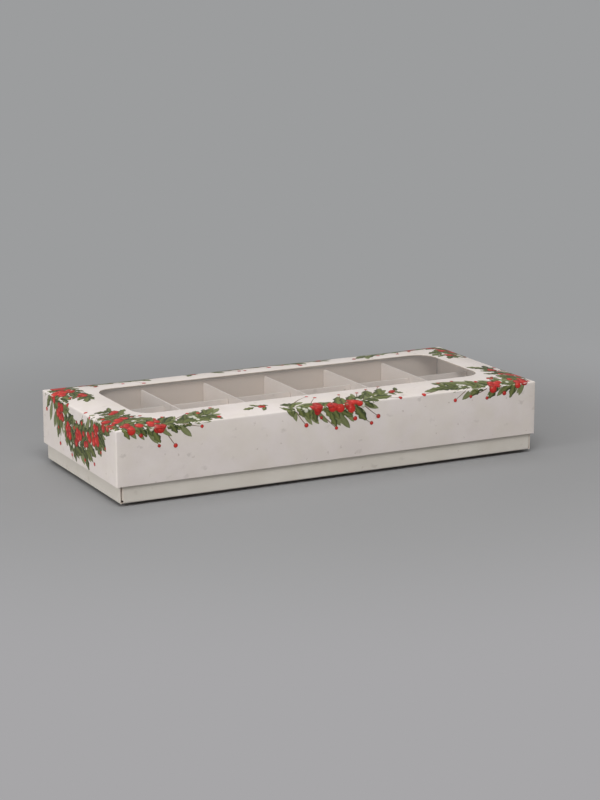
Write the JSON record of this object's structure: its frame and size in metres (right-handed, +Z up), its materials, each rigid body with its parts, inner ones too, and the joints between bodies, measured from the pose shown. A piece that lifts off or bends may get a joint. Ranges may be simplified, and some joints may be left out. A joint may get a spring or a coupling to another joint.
{
  "type": "candy gift box",
  "caption": "Flat oblong candy gift box: lift-off board lid with a clear film window, hollow-walled board tray and a slotted divider lattice that makes square cells.",
  "frame": {"origin": "centre of the tray's underside, on the table", "axes": "+X along the box's length, +Y across it towards the back, +Z up"},
  "size_m": [0.24, 0.1006, 0.039],
  "materials": {
    "lid_card": "satin coated board, off-white with fine beige flecks and a printed sprig design",
    "clear_film": "clear glossy film",
    "tray_card": "matt white-grey board",
    "divider_card": "matt uncoated board with cut edges"
  },
  "bodies": {
    "base": {"base_tray": "tray_card"},
    "lattice": {"long_divider": "divider_card", "cross_divider_1": "divider_card", "cross_divider_2": "divider_card", "cross_divider_3": "divider_card", "cross_divider_4": "divider_card", "cross_divider_5": "divider_card"},
    "lid": {"lid_board": "lid_card", "window_film": "clear_film"}
  },
  "joints": [
    {"name": "lattice_lift", "type": "slide", "parent": "base", "child": "lattice", "axis": [0, 0, 1], "range_m": [0, 0.045]},
    {"name": "lid_lift", "type": "slide", "parent": "lattice", "child": "lid", "axis": [0, 0, 1], "range_m": [0, 0.06]}
  ]
}
